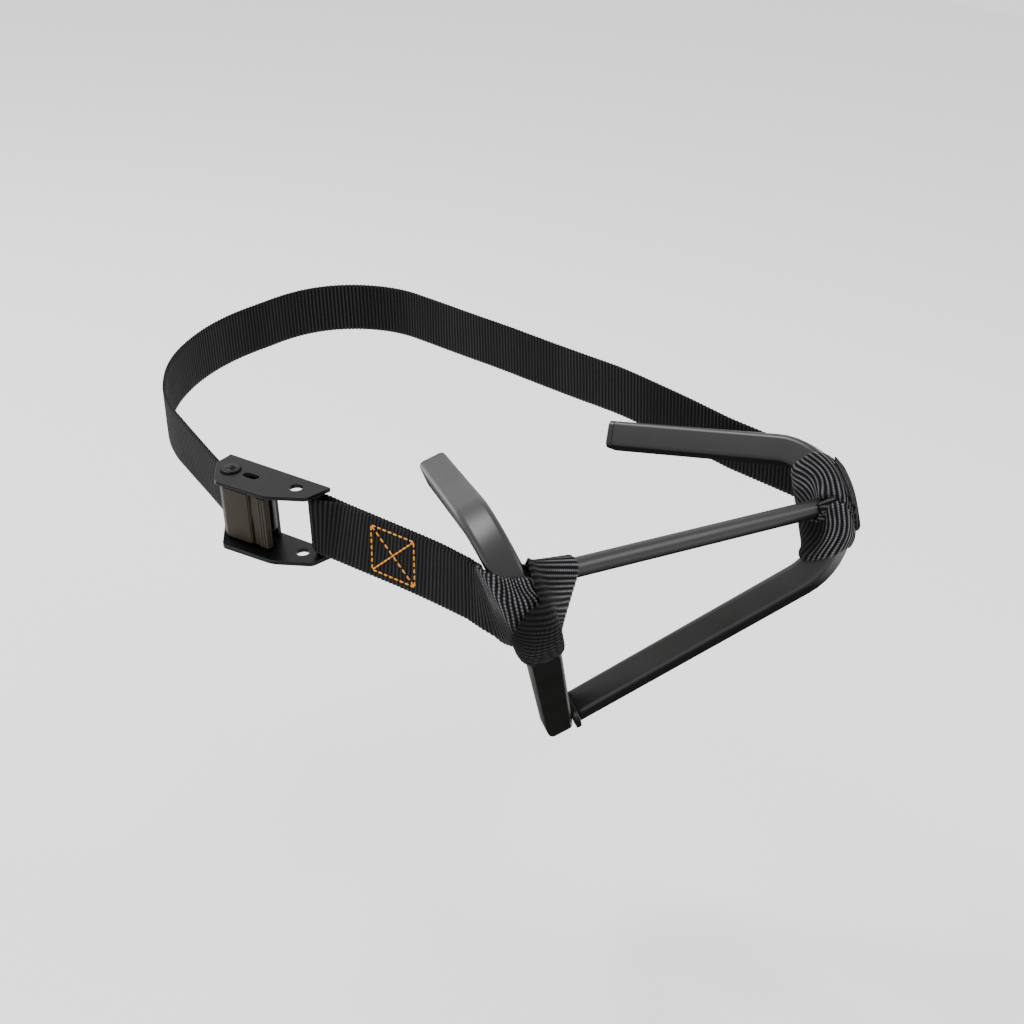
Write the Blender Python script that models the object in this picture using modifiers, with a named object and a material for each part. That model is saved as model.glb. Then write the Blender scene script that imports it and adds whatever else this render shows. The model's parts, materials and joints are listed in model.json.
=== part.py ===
"""Strap-on climbing step: two bent square tubes, a cross rod and a webbing strap with a cam buckle.

World frame: origin at the middle of the lower trunk contact, +X along the cross rod, +Y towards
the trunk, +Z up.  Units are metres.
The pieces are laid out from the middle of the cross rod, then moved together to that origin.
The loop of webbing lies in a plane of its own, a little lower on the left than on the right.
"""
import math

import bmesh
import bpy
from mathutils import Matrix, Vector

MM = 0.001
GAP = 0.3 * MM                      # clearance left between neighbouring pieces
CUT = 60 * MM                       # size of the blocks that trim an end

# Frame: half-inch square tube, bent twice as a mirrored pair
TUBE = 12.7 * MM
TUBE_WALL = 1.6 * MM
TUBE_CORNER = 2.4 * MM
CORNER_STEPS = 3
BEND_RADIUS = 30.6 * MM
BEND_STEPS = 20
HAIRPIN_ANGLE = math.radians(35.6)  # between a tube's prong and its brace
PRONG_LENGTH = 80.3 * MM
SPLAY = math.radians(31.0)          # how far each tube turns inwards, seen along the trunk
LEAN = math.radians(-24.3)          # how far each bend leans about its own axis
FRAME_PITCH = math.radians(-60.0)   # the frame hangs below the strap
ROD_HALF_SPAN = 84.1 * MM           # rod centre to the outermost point of a bend's centreline
ROD_RADIUS = 3.97 * MM
BRACE_OVERRUN = 6.0 * MM            # the left brace runs on past the corner
PLUG_HEAD = 2.6 * MM
PLUG_STEM = 12.0 * MM
ROD_WELD_RADIUS = 6.2 * MM
ROD_WELD_LENGTH = 4.5 * MM
ROD_WELD_END = 74.0 * MM
ROD_WELD_THROAT = 0.9 * MM
CORNER_WELD_THROAT = 2.4 * MM
BRACE_SPARE = 12.0 * MM             # extra length on the right brace before it is trimmed

# Webbing: one inch wide, laid round an oval that stands in for the trunk
WEB_WIDTH = 25.4 * MM
WEB_THICK = 1.6 * MM
STRAP_ROLL = math.radians(8.0)      # the loop's left side hangs lower than its right
STRAP_DROP = 3.0 * MM
LOOP_CORNERS = (                    # corners of the loop's line and the radius that rounds each
    ((95.2 * MM, 24 * MM), 0),
    ((81.5 * MM, 66 * MM), 60 * MM),
    ((25.8 * MM, 316.3 * MM), 53.8 * MM),
    ((-117.1 * MM, 290.8 * MM), 102.9 * MM),
    ((-127.3 * MM, 157.0 * MM), 12 * MM),
)
HITCH_POINT = Vector((-85 * MM, 23 * MM))   # where the sling's flat part ends and its hitch begins
ARC_STEP = math.radians(7.5)
EYE_LENGTH = 9.0 * MM               # anchor bar to where the sling's two plies meet
STITCH_BOX = 19.0 * MM
STITCH_MIDDLE = 36.0 * MM           # anchor bar to the middle of the sewn box
THREAD = 0.9 * MM                   # width of a seam of the sewn box
THREAD_HEIGHT = 0.3 * MM
THREAD_LIFT = 0.35 * MM             # a seam's middle above the webbing's face
TACK_SIZE = (2.4 * MM, 0.4 * MM, 19 * MM)
TACK_LIFT = 0.3 * MM
TACK_ALONG = 5 * MM                 # from the strap's end
LEFT_KNOT = (Vector((-73.5 * MM, -14 * MM, -26 * MM)), Vector((-53 * MM, 6.5 * MM, 7 * MM)))
LEFT_TURN = (                       # the plies from the sling, round the outside of the left bend
    ((-89.5 * MM, -5 * MM), 11 * MM),
    ((-83 * MM, -18.5 * MM), 7 * MM),
    ((-64 * MM, -11 * MM), 0),
)
RIGHT_KNOT = (Vector((59 * MM, -7 * MM, -17 * MM)), Vector((73.5 * MM, 12 * MM, 17 * MM)))
RIGHT_TURN = (                      # the strap's end, round the outside of the right bend
    ((98.5 * MM, 3 * MM), 14 * MM),
    ((91 * MM, -16 * MM), 8 * MM),
    ((66 * MM, -6 * MM), 0),
)
KNOT_ROUNDING = 0.3                 # share of a knot's least side

# Cam buckle, in its own frame: x along the webbing towards the anchor bar, -y away from the trunk
BUCKLE_CENTRE = Vector((-115 * MM, 125 * MM, 0))
BUCKLE_TURN = math.radians(-69.0)
PLATE_THICK = 1.8 * MM
PLATE_INSIDE = 14.6 * MM            # half the clear width between the side plates
FLOOR_TOP = 1.3 * MM
FRAME_ENDS = (-30 * MM, 25.5 * MM)
FLOOR_END = -5.5 * MM               # the floor reaches from the entry to here
PLATE_CORNERS = (                   # outer corners of a side plate, entry end first
    ((-30 * MM, -6 * MM), 3.5 * MM),
    ((-19.8 * MM, -18.2 * MM), 3.5 * MM),
    ((7 * MM, -17.0 * MM), 12 * MM),
    ((22.6 * MM, -9.2 * MM), 3.5 * MM),
)
PLATE_SLOT = (-9.3 * MM, -7.1 * MM)
PLATE_SLOT_HALF = 2.2 * MM
PLATE_SLOT_RADIUS = 2.0 * MM
PLATE_HOLE = (13.4 * MM, -4.6 * MM)
PLATE_HOLE_RADIUS = 2.9 * MM
BAR_POCKET = 0.9 * MM               # how far the anchor bar sits into each side plate
PIVOT = Vector((-20.6 * MM, -7.2 * MM, 0))
PIVOT_RADIUS = 1.9 * MM
RIVET_HEAD = 4.5 * MM
RIVET_DOME = 2.4 * MM
ANCHOR = Vector((21.2 * MM, -0.7 * MM, 0))
ANCHOR_RADIUS = 2.4 * MM
CAM_RADIUS = 6.0 * MM               # pivot to the teeth that grip the webbing
CAM_RELIEF = 1.2 * MM               # how much nearer the released side of the cam is
CAM_TEETH = 6
TOOTH_DEPTH = 0.45 * MM
LEVER_HALF_WIDTH = 13.0 * MM
LEVER_UNDERSIDE = ((6.0 * MM, -1.4 * MM), (19.4 * MM, -2.2 * MM), (21.2 * MM, -1.6 * MM), (22.3 * MM, -2.6 * MM))
LEVER_PANEL = ((12.8 * MM, -4.7 * MM), (12.5 * MM, -5.6 * MM), (0.2 * MM, -6.0 * MM), (-1.4 * MM, -5.2 * MM),
               (-4.4 * MM, -3.4 * MM))
RIDGES = 3
RIDGE_FIRST = 22.0 * MM
RIDGE_PITCH = 1.5 * MM
RIDGE_PROFILE = ((0, -5.5 * MM), (0.7 * MM, -5.5 * MM), (0.85 * MM, -4.9 * MM), (1.35 * MM, -4.9 * MM))
SPRING_WIRE = 0.4 * MM
SPRING_COIL = 2.75 * MM
SPRING_PITCH = 1.0 * MM
SPRING_TURNS = 2
SPRING_ENDS = (4.5 * MM, -4.0 * MM)
SPRING_SPACE = 2.7 * MM
TAIL_END = -4.8 * MM                # cut end of the webbing, short of the lever's lip

BLACK = (0.018, 0.018, 0.02, 1.0)


def clear_scene():
    for item in list(bpy.data.objects):
        bpy.data.objects.remove(item, do_unlink=True)


def new_collection(name):
    group = bpy.data.collections.new(name)
    bpy.context.scene.collection.children.link(group)
    return group


def make_material(name, colour, roughness, metallic):
    mat = bpy.data.materials.new(name)
    mat.use_nodes = True
    shader = mat.node_tree.nodes["Principled BSDF"]
    shader.inputs["Base Color"].default_value = colour
    shader.inputs["Roughness"].default_value = roughness
    shader.inputs["Metallic"].default_value = metallic
    mat.diffuse_color = colour
    return mat


def finish(obj, colour=BLACK, roughness=0.5, metallic=0.0):
    """Put a finished piece in the part's collection with its own material."""
    tidy(obj)
    obj.data.materials.clear()
    obj.data.materials.append(make_material(obj.name + "_finish", colour, roughness, metallic))
    PART.objects.link(obj)
    return obj


def tidy(obj):
    work = bmesh.new()
    work.from_mesh(obj.data)
    bmesh.ops.remove_doubles(work, verts=work.verts, dist=0.002 * MM)
    bmesh.ops.dissolve_degenerate(work, dist=0.002 * MM, edges=work.edges)
    bmesh.ops.recalc_face_normals(work, faces=work.faces)
    work.to_mesh(obj.data)
    work.free()


def mesh_from(obj, name):
    """Bake an object's curve or modifiers into a plain mesh object."""
    bpy.context.scene.collection.objects.link(obj)
    bpy.context.view_layer.update()
    graph = bpy.context.evaluated_depsgraph_get()
    mesh = bpy.data.meshes.new_from_object(obj.evaluated_get(graph))
    baked = bpy.data.objects.new(name, mesh)
    baked.matrix_world = obj.matrix_world.copy()
    bpy.data.objects.remove(obj, do_unlink=True)
    baked.name = name
    work = bmesh.new()
    work.from_mesh(mesh)
    bmesh.ops.remove_doubles(work, verts=work.verts, dist=0.001 * MM)
    bmesh.ops.recalc_face_normals(work, faces=work.faces)
    work.to_mesh(mesh)
    work.free()
    return baked


def combine(obj, tools, operation):
    """Boolean an object with each tool in turn; tools stay in the cutters' collection."""
    for tool in tools:
        if tool.name not in CUTTERS.objects:
            CUTTERS.objects.link(tool)
        tool.hide_render = True
        tool.display_type = 'WIRE'
        step = obj.modifiers.new(operation.title(), 'BOOLEAN')
        step.object = tool
        step.operation = operation
        step.solver = 'EXACT'
        obj = mesh_from(obj, obj.name.split(".")[0])
    return obj


def box(name, size, matrix):
    mesh = bpy.data.meshes.new(name)
    work = bmesh.new()
    bmesh.ops.create_cube(work, size=1.0)
    bmesh.ops.scale(work, vec=size, verts=work.verts)
    work.to_mesh(mesh)
    work.free()
    obj = bpy.data.objects.new(name, mesh)
    obj.matrix_world = matrix
    return obj


def rod_along(name, axis, radius_start, radius_end, start, end, sides, matrix):
    """A straight round bar or cone along a local axis, between two distances from the origin."""
    mesh = bpy.data.meshes.new(name)
    work = bmesh.new()
    bmesh.ops.create_cone(work, cap_ends=True, segments=sides, radius1=radius_start,
                          radius2=radius_end, depth=end - start)
    turn = {'X': Matrix.Rotation(math.pi / 2, 4, 'Y'), 'Z': Matrix.Identity(4)}[axis]
    middle = Matrix.Translation(Vector((0, 0, (start + end) / 2)))
    bmesh.ops.transform(work, matrix=turn @ middle, verts=work.verts)
    work.to_mesh(mesh)
    work.free()
    obj = bpy.data.objects.new(name, mesh)
    obj.matrix_world = matrix
    return obj


def plate(name, outlines, thickness, matrix):
    """A flat outline, with any holes as further outlines, extruded both ways from its plane."""
    curve = bpy.data.curves.new(name, 'CURVE')
    curve.dimensions = '2D'
    curve.fill_mode = 'BOTH'
    curve.extrude = thickness / 2
    for points in outlines:
        spline = curve.splines.new('POLY')
        spline.points.add(len(points) - 1)
        for point, (x, y) in zip(spline.points, points):
            point.co = (x, y, 0, 1)
        spline.use_cyclic_u = True
    obj = bpy.data.objects.new(name, curve)
    obj.matrix_world = matrix
    return mesh_from(obj, name)


def circle(centre, radius, sides):
    turn = 2 * math.pi / sides
    return [(centre[0] + radius * math.cos(turn * i), centre[1] + radius * math.sin(turn * i))
            for i in range(sides)]


def rounded_line(corners):
    """Points along a polyline whose corners are rounded to the given radii."""
    points = []
    for index, (corner, radius) in enumerate(corners):
        here = Vector(corner)
        if radius == 0:
            points.append(here)
            continue
        before = (Vector(corners[index - 1][0]) - here).normalized()
        after = (Vector(corners[(index + 1) % len(corners)][0]) - here).normalized()
        opening = before.angle(after)
        reach = radius / math.tan(opening / 2)
        centre = here + (before + after).normalized() * radius / math.sin(opening / 2)
        start = here + before * reach - centre
        sweep = math.pi - opening
        if start.x * (here + after * reach - centre).y - start.y * (here + after * reach - centre).x < 0:
            sweep = -sweep
        steps = max(2, round(abs(sweep) / ARC_STEP))
        for i in range(steps + 1):
            points.append(centre + Matrix.Rotation(sweep * i / steps, 2) @ start)
    return points


def band(name, points, thickness, width, matrix):
    """Webbing laid on edge along a plan line: a surface given its thickness by Solidify."""
    mesh = bpy.data.meshes.new(name)
    work = bmesh.new()
    rows = [[work.verts.new((p.x, p.y, z)) for p in points] for z in (-width / 2, width / 2)]
    for i in range(len(points) - 1):
        work.faces.new((rows[0][i], rows[0][i + 1], rows[1][i + 1], rows[1][i]))
    work.to_mesh(mesh)
    work.free()
    obj = bpy.data.objects.new(name, mesh)
    obj.matrix_world = matrix
    shell = obj.modifiers.new("Thickness", 'SOLIDIFY')
    shell.thickness = thickness
    shell.offset = 0
    shell.use_even_offset = True
    return mesh_from(obj, name)


# ---------------------------------------------------------------- frame

def side_matrix(side):
    """The plane of one bent tube: x into the bend, y from brace to prong, origin at the rod's end."""
    along = Vector((-math.sin(SPLAY), math.cos(SPLAY), 0))
    up = Vector((0, 0, 1))
    into = math.cos(LEAN) * along - math.sin(LEAN) * up
    across = math.sin(LEAN) * along + math.cos(LEAN) * up
    for axis in (into, across):
        axis.x *= side
    normal = into.cross(across)
    turn = Matrix((into, across, normal)).transposed().to_4x4()
    pitch = Matrix.Rotation(FRAME_PITCH, 4, 'X')
    return Matrix.Translation(Vector((side * ROD_HALF_SPAN, 0, 0))) @ pitch @ turn


def half_bend():
    return (math.pi - HAIRPIN_ANGLE) / 2


def tube_line(prong, brace):
    """Centreline of a side tube in its own plane, from the prong's tip to the brace's end."""
    half = half_bend()
    slope = HAIRPIN_ANGLE / 2
    arc = []
    for i in range(BEND_STEPS + 1):
        angle = half - 2 * half * i / BEND_STEPS
        arc.append(Vector((BEND_RADIUS - BEND_RADIUS * math.cos(angle), BEND_RADIUS * math.sin(angle), 0)))
    tip = arc[0] + prong * Vector((math.cos(slope), math.sin(slope), 0))
    end = arc[-1] + brace * Vector((math.cos(slope), -math.sin(slope), 0))
    return [tip] + arc + [end]


def brace_length():
    """Length of the straight brace from its bend to the plane midway between the two tubes."""
    matrix = side_matrix(1)
    line = tube_line(0, 1)
    start = matrix @ line[-2]
    step = matrix @ line[-1] - start
    return -start.x / step.x


def square_profile(size, corner):
    """Rounded square section as a closed curve, used as a bevel."""
    curve = bpy.data.curves.new("square_section", 'CURVE')
    curve.dimensions = '2D'
    spline = curve.splines.new('POLY')
    points = []
    reach = size / 2 - corner
    for quarter in range(4):
        middle = math.pi / 4 + quarter * math.pi / 2
        centre = Vector((math.copysign(reach, math.cos(middle)), math.copysign(reach, math.sin(middle))))
        for i in range(CORNER_STEPS + 1):
            angle = quarter * math.pi / 2 + i * math.pi / 2 / CORNER_STEPS
            points.append(centre + corner * Vector((math.cos(angle), math.sin(angle))))
    spline.points.add(len(points) - 1)
    for point, place in zip(spline.points, points):
        point.co = (place.x, place.y, 0, 1)
    spline.use_cyclic_u = True
    return bpy.data.objects.new("square_section", curve)


def swept_square(name, line, size, corner, capped, matrix):
    curve = bpy.data.curves.new(name, 'CURVE')
    curve.dimensions = '3D'
    curve.twist_mode = 'Z_UP'
    curve.bevel_mode = 'OBJECT'
    curve.bevel_object = square_profile(size, corner)
    curve.use_fill_caps = capped
    spline = curve.splines.new('POLY')
    spline.points.add(len(line) - 1)
    for point, place in zip(spline.points, line):
        point.co = (place.x, place.y, place.z, 1)
    obj = bpy.data.objects.new(name, curve)
    obj.matrix_world = matrix
    return mesh_from(obj, name)


def hollow(obj, wall):
    shell = obj.modifiers.new("Wall", 'SOLIDIFY')
    shell.thickness = wall
    shell.offset = -1
    shell.use_even_offset = True
    return mesh_from(obj, obj.name.split(".")[0])


def corner_point():
    return side_matrix(-1) @ tube_line(0, brace_length())[-1]


def corner_face():
    """Frame on the left brace's inner side: origin at the corner, z out of that side."""
    matrix = side_matrix(-1)
    outward = matrix.to_3x3() @ Vector((0, 0, 1))
    if outward.x < 0:
        outward.negate()
    line = tube_line(0, 1)
    along = (matrix.to_3x3() @ (line[-1] - line[-2])).normalized()
    turn = Matrix((along, outward.cross(along), outward)).transposed().to_4x4()
    return Matrix.Translation(corner_point()) @ turn


def tube_cutter(side, grow):
    line = tube_line(PRONG_LENGTH + 4 * MM, brace_length() + 8 * MM)
    name = "left_tube_space" if side < 0 else "right_tube_space"
    return swept_square(name, line, TUBE + 2 * grow, TUBE_CORNER + grow, True, side_matrix(side))


def side_tube(name, side, brace):
    line = tube_line(PRONG_LENGTH, brace)
    tube = swept_square(name, line, TUBE, TUBE_CORNER, False, side_matrix(side))
    return hollow(tube, TUBE_WALL)


def left_tube():
    tube = side_tube("left_side_tube", -1, brace_length() + BRACE_OVERRUN)
    finish(tube, BLACK, 0.42, 0.0)


def right_tube():
    tube = side_tube("right_side_tube", 1, brace_length() + BRACE_SPARE)
    block = box("corner_trim", (CUT, CUT, CUT),
                corner_face() @ Matrix.Translation(Vector((0, 0, TUBE / 2 + GAP - CUT / 2))))
    finish(combine(tube, [block], 'DIFFERENCE'), BLACK, 0.42, 0.0)


def end_frame(side, at_prong):
    """Frame at a tube's open end, z pointing out of the tube."""
    line = tube_line(PRONG_LENGTH, brace_length() + BRACE_OVERRUN)
    here, inside = (line[0], line[1]) if at_prong else (line[-1], line[-2])
    matrix = side_matrix(side)
    out = (matrix @ here - matrix @ inside).normalized()
    normal = (matrix.to_3x3() @ Vector((0, 0, 1))).normalized()
    turn = Matrix((normal, out.cross(normal), out)).transposed().to_4x4()
    return Matrix.Translation(matrix @ here) @ turn


def square_block(name, size, corner, low, high, matrix):
    line = [Vector((low, 0, 0)), Vector((high, 0, 0))]
    turn = Matrix.Rotation(-math.pi / 2, 4, 'Y')
    return swept_square(name, line, size, corner, True, matrix @ turn)


def end_plug(name, side, at_prong):
    """Push-in plug: a head the size of the tube and a stem inside it."""
    place = end_frame(side, at_prong)
    bore = TUBE - 2 * TUBE_WALL - 2 * GAP
    head = square_block(name, TUBE, TUBE_CORNER, GAP, GAP + PLUG_HEAD, place)
    stem = square_block(name + "_stem", bore, 1.0 * MM, -PLUG_STEM, GAP + PLUG_HEAD / 2, place)
    finish(combine(head, [stem], 'UNION'), (0.012, 0.012, 0.013, 1), 0.35, 0.0)


def cross_rod():
    rod = rod_along("cross_rod", 'X', ROD_RADIUS, ROD_RADIUS, -ROD_HALF_SPAN, ROD_HALF_SPAN, 32,
                    Matrix.Identity(4))
    spaces = [tube_cutter(-1, GAP), tube_cutter(1, GAP)]
    finish(combine(rod, spaces, 'DIFFERENCE'), BLACK, 0.36, 0.0)


def rod_weld(name, side):
    """Fillet weld round the end of the rod, flaring out onto the tube."""
    ends = sorted((side * ROD_WELD_END, side * (ROD_WELD_END + ROD_WELD_LENGTH)))
    radii = (ROD_WELD_RADIUS, ROD_RADIUS + ROD_WELD_THROAT)
    if side > 0:
        radii = radii[::-1]
    bead = rod_along(name, 'X', radii[0], radii[1], ends[0], ends[1], 24, Matrix.Identity(4))
    space = rod_along("rod_space", 'X', ROD_RADIUS + GAP / 2, ROD_RADIUS + GAP / 2,
                      -ROD_HALF_SPAN - CUT, ROD_HALF_SPAN + CUT, 24, Matrix.Identity(4))
    finish(combine(bead, [tube_cutter(side, GAP / 2), space], 'DIFFERENCE'), BLACK, 0.55, 0.0)


def corner_weld():
    """Fillet weld round the end of the right brace, where it butts on the left one."""
    size = TUBE + 2 * CORNER_WELD_THROAT
    line = tube_line(PRONG_LENGTH, brace_length() + BRACE_SPARE)[-2:]
    bead = swept_square("corner_weld", line, size, TUBE_CORNER + CORNER_WELD_THROAT, True, side_matrix(1))
    slab = box("corner_weld_limits", (CUT, CUT, CORNER_WELD_THROAT),
               corner_face() @ Matrix.Translation(Vector((0, 0, TUBE / 2 + GAP + CORNER_WELD_THROAT / 2))))
    bead = combine(bead, [slab], 'INTERSECT')
    finish(combine(bead, [tube_cutter(1, GAP / 2)], 'DIFFERENCE'), BLACK, 0.55, 0.0)


# ---------------------------------------------------------------- webbing

def strap_matrix():
    """The loop's own plane: x and y along it, z across the webbing."""
    return Matrix.Translation(Vector((0, 0, -STRAP_DROP))) @ Matrix.Rotation(-STRAP_ROLL, 4, 'Y')


def buckle_in_loop():
    return Matrix.Translation(BUCKLE_CENTRE) @ Matrix.Rotation(BUCKLE_TURN, 4, 'Z')


def buckle_matrix():
    return strap_matrix() @ buckle_in_loop()


def entry_point():
    """Where the long strap passes under the cam."""
    return (buckle_in_loop() @ (PIVOT + Vector((-GAP, -PIVOT.y, 0)))).xy


def anchor_point():
    """Middle of the anchor bar, in the loop's own plane."""
    return buckle_in_loop() @ ANCHOR


def long_strap():
    corners = list(LOOP_CORNERS) + [(tuple(entry_point()), 0)]
    strap = band("long_strap", rounded_line(corners), WEB_THICK, WEB_WIDTH, strap_matrix())
    finish(strap, (0.02, 0.02, 0.024, 1), 0.85)


def strap_tail():
    points = [Vector((PIVOT.x + GAP, 0)), Vector((TAIL_END, 0))]
    tail = band("strap_tail", points, WEB_THICK, WEB_WIDTH, buckle_matrix())
    finish(tail, (0.02, 0.02, 0.024, 1), 0.85)


def sling():
    """Doubled webbing: an eye round the anchor bar, then two plies sewn together."""
    end = buckle_in_loop().inverted() @ HITCH_POINT.to_3d()
    half = WEB_THICK + 0.1 * MM
    eye = ANCHOR_RADIUS + GAP
    outer = eye + WEB_THICK
    lie = (end - ANCHOR).normalized()
    across = Vector((-lie.y, lie.x, 0)) * half
    throat = ANCHOR + lie * EYE_LENGTH
    points = []
    for i in range(17):
        angle = math.atan2(lie.y, lie.x) + math.radians(60 + 240 * i / 16)
        points.append((ANCHOR.x + outer * math.cos(angle), ANCHOR.y + outer * math.sin(angle)))
    points += [tuple(p.xy) for p in (throat - across, end - across, end + across, throat + across)]
    body = plate("buckle_sling", [points, circle(ANCHOR, eye, 24)], WEB_WIDTH, buckle_matrix())
    finish(body, (0.022, 0.022, 0.026, 1), 0.85)


def box_stitch(name, inner):
    """Sewn box with a cross in it, as one raised thread pattern on a face of the sling."""
    place = buckle_matrix()
    end = buckle_in_loop().inverted() @ HITCH_POINT.to_3d()
    lie = (end - ANCHOR).normalized()
    turn = Matrix.Rotation(math.atan2(lie.y, lie.x), 4, 'Z')
    middle = ANCHOR + lie * STITCH_MIDDLE
    lift = (WEB_THICK + THREAD_LIFT) * (1 if inner else -1)
    face = place @ Matrix.Translation(middle) @ turn @ Matrix.Translation(Vector((0, lift, 0)))
    outer = STITCH_BOX / 2 + THREAD / 2
    inside = STITCH_BOX / 2 - THREAD / 2
    offset = THREAD * math.sqrt(0.5)
    outlines = [[(-outer, -outer), (outer, -outer), (outer, outer), (-outer, outer)]]
    for quarter in range(4):
        turned_by = Matrix.Rotation(quarter * math.pi / 2, 2)
        corners = (Vector((0, offset)), Vector((inside - offset, inside)), Vector((offset - inside, inside)))
        outlines.append([tuple(turned_by @ corner) for corner in corners])
    pattern = plate(name, outlines, THREAD_HEIGHT, face @ Matrix.Rotation(math.pi / 2, 4, 'X'))
    finish(pattern, (0.72, 0.27, 0.03, 1), 0.7)


def eye_bar_tack():
    """Bar tack that closes the sewn eye at the strap's far end."""
    start, step = Vector(LOOP_CORNERS[0][0]), Vector(LOOP_CORNERS[1][0])
    lie = (step - start).normalized()
    out = Vector((lie.y, -lie.x))
    centre = (start + lie * TACK_ALONG + out * (WEB_THICK / 2 + TACK_LIFT)).to_3d()
    place = strap_matrix() @ Matrix.Translation(centre) @ Matrix.Rotation(math.atan2(lie.y, lie.x), 4, 'Z')
    finish(box("eye_bar_tack", TACK_SIZE, place), (0.02, 0.02, 0.025, 1), 0.8)


def knot(name, low, high):
    """Rounded block that stands in for a gathered hitch of webbing."""
    size = high - low
    block = box(name, size, Matrix.Translation((low + high) / 2))
    soften = block.modifiers.new("Round", 'BEVEL')
    soften.width = min(size) * KNOT_ROUNDING
    soften.segments = 3
    return mesh_from(block, name)


def hitch(name, side, limits, lead):
    """Webbing hitched round the rod beside a tube, with the plies that lead into it."""
    body = knot(name, limits[0], limits[1])
    plies = band(name + "_plies", lead, 2 * WEB_THICK, WEB_WIDTH - 1 * MM, strap_matrix())
    body = combine(body, [plies], 'UNION')
    space = rod_along(name + "_rod_space", 'X', ROD_RADIUS + GAP, ROD_RADIUS + GAP,
                      -ROD_HALF_SPAN - CUT, ROD_HALF_SPAN + CUT, 24, Matrix.Identity(4))
    finish(combine(body, [tube_cutter(side, GAP), space], 'DIFFERENCE'), (0.024, 0.024, 0.028, 1), 0.85)


def left_hitch():
    lie = (HITCH_POINT.to_3d() - anchor_point()).normalized().to_2d()
    corners = [(tuple(HITCH_POINT + lie * GAP), 0), (tuple(HITCH_POINT + lie * 9 * MM), 12 * MM)]
    hitch("left_hitch", -1, LEFT_KNOT, rounded_line(corners + list(LEFT_TURN)))


def right_hitch():
    start = Vector(LOOP_CORNERS[0][0])
    lie = (start - Vector(LOOP_CORNERS[1][0])).normalized()
    corners = [(tuple(start + lie * GAP), 0)]
    hitch("right_hitch", 1, RIGHT_KNOT, rounded_line(corners + list(RIGHT_TURN)))


# ---------------------------------------------------------------- cam buckle

def side_plate_outline():
    """Side plate: deep round the cam, tapering to the anchor bar."""
    left, right = FRAME_ENDS
    base = FLOOR_TOP + PLATE_THICK - GAP
    corners = [((left, base), 0)] + list(PLATE_CORNERS) + [((right, base), 0)]
    return [tuple(p) for p in rounded_line(corners)]


def slot(centre, half_length, radius):
    points = []
    for end in (1, -1):
        for i in range(9):
            angle = -end * math.pi / 2 + math.pi * i / 8
            points.append((centre[0] + end * half_length + radius * math.cos(angle),
                           centre[1] + radius * math.sin(angle)))
    return points


def buckle_frame():
    """Two side plates and the short floor that the cam grips the webbing against."""
    place = buckle_matrix()
    holes = [circle(PIVOT, PIVOT_RADIUS + GAP, 20),
             slot(PLATE_SLOT, PLATE_SLOT_HALF, PLATE_SLOT_RADIUS),
             circle(PLATE_HOLE, PLATE_HOLE_RADIUS, 24)]
    middle = PLATE_INSIDE + PLATE_THICK / 2
    sides = [plate("side_plate", [side_plate_outline()] + holes, PLATE_THICK,
                   place @ Matrix.Translation(Vector((0, 0, s * middle)))) for s in (-1, 1)]
    floor = box("buckle_frame", (FLOOR_END - FRAME_ENDS[0] - GAP, PLATE_THICK, 2 * middle),
                place @ Matrix.Translation(Vector(((FRAME_ENDS[0] + GAP + FLOOR_END) / 2,
                                                   FLOOR_TOP + PLATE_THICK / 2, 0))))
    frame = combine(floor, sides, 'UNION')
    reach = PLATE_INSIDE + BAR_POCKET + GAP
    pockets = rod_along("anchor_pockets", 'Z', ANCHOR_RADIUS + GAP, ANCHOR_RADIUS + GAP, -reach, reach, 24,
                        place @ Matrix.Translation(ANCHOR))
    frame = combine(frame, [pockets], 'DIFFERENCE')
    finish(frame, (0.03, 0.03, 0.032, 1), 0.4, 0.3)


def anchor_bar():
    reach = PLATE_INSIDE + BAR_POCKET
    bar = rod_along("anchor_bar", 'Z', ANCHOR_RADIUS, ANCHOR_RADIUS, -reach, reach, 24,
                    buckle_matrix() @ Matrix.Translation(ANCHOR))
    finish(bar, (0.03, 0.03, 0.032, 1), 0.4, 0.3)


def turned(name, outline, matrix, sides):
    """A solid of revolution about local z from (radius, height) points."""
    mesh = bpy.data.meshes.new(name)
    work = bmesh.new()
    verts = [work.verts.new((radius, 0, height)) for radius, height in outline]
    for a, b in zip(verts, verts[1:]):
        work.edges.new((a, b))
    work.to_mesh(mesh)
    work.free()
    obj = bpy.data.objects.new(name, mesh)
    obj.matrix_world = matrix
    spin = obj.modifiers.new("Turn", 'SCREW')
    spin.axis = 'Z'
    spin.steps = sides
    spin.render_steps = sides
    spin.use_merge_vertices = True
    spin.merge_threshold = 0.00001
    return mesh_from(obj, name)


def pivot_pin():
    top = PLATE_INSIDE + PLATE_THICK + GAP
    half = [(0, top + 1.7 * MM), (0.6 * RIVET_DOME, top + 1.5 * MM), (RIVET_DOME, top + 0.6 * MM),
            (RIVET_HEAD - 0.3 * MM, top + 0.6 * MM), (RIVET_HEAD, top + 0.3 * MM), (RIVET_HEAD, top),
            (PIVOT_RADIUS, top)]
    outline = [(radius, -height) for radius, height in half] + half[::-1]
    pin = turned("cam_pivot_pin", outline, buckle_matrix() @ Matrix.Translation(PIVOT), 24)
    finish(pin, (0.035, 0.035, 0.035, 1), 0.35, 0.5)


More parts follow.
